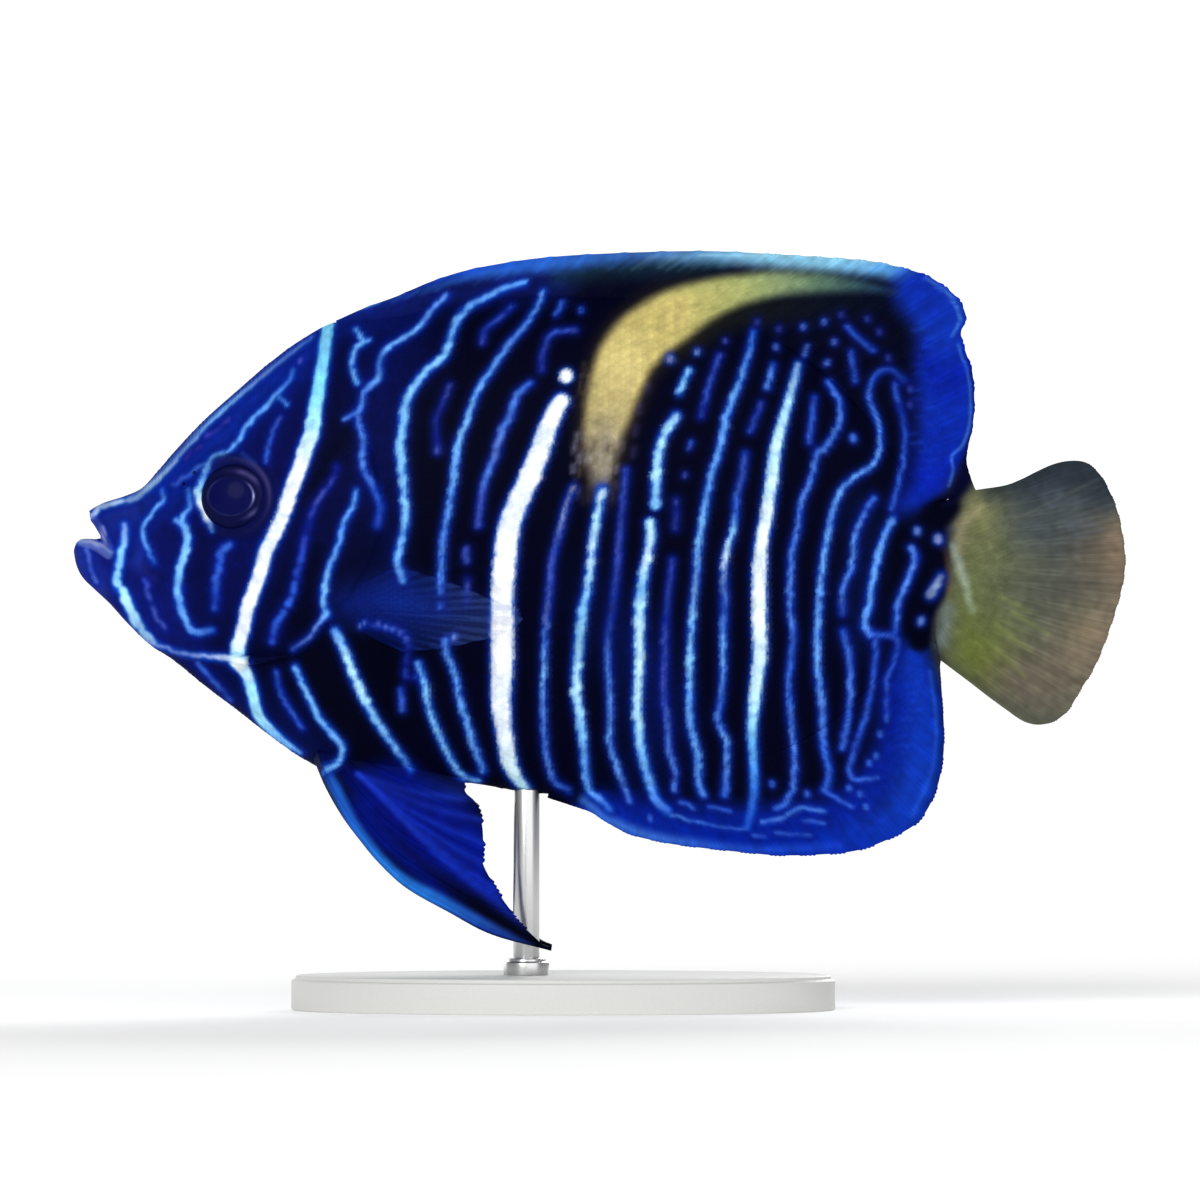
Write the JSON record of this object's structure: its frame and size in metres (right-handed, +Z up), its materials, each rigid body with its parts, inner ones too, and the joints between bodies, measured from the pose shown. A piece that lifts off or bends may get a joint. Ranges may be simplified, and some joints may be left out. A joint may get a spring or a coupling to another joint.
{
  "type": "arabian angelfish",
  "caption": "Life-size still model of a half-grown Arabian angelfish, a deep disc body with spread fins, held as it swims on a plain oval display stand.",
  "frame": {"origin": "on the floor under the middle of the model's box, at the underside of the display base", "axes": "+X from the head towards the tail, +Y to the fish's right side, +Z up"},
  "size_m": [0.12, 0.04, 0.0866],
  "materials": {
    "fish_skin": "wet scaled skin, navy with blue and white stripes",
    "tail_membrane": "satin fin membrane, olive grey",
    "pectoral_membrane": "thin glossy fin membrane, clear blue",
    "eye": "high gloss, dark",
    "stand_paint": "fine matt paint, light grey",
    "stand_steel": "satin steel"
  },
  "bodies": {
    "root": {"head": "fish_skin", "lower_jaw": "fish_skin", "gill_cover_left": "fish_skin", "gill_cover_right": "fish_skin", "trunk": "fish_skin", "tail_stalk": "fish_skin", "dorsal_fin_spiny": "fish_skin", "dorsal_fin_soft": "fish_skin", "anal_fin": "fish_skin", "pelvic_fin_left": "fish_skin", "pelvic_fin_right": "fish_skin", "tail_fin": "tail_membrane", "pectoral_fin_left": "pectoral_membrane", "pectoral_fin_right": "pectoral_membrane", "eye_left": "eye", "eye_right": "eye", "stand_base": "stand_paint", "stand_rod": "stand_steel"}
  },
  "joints": []
}
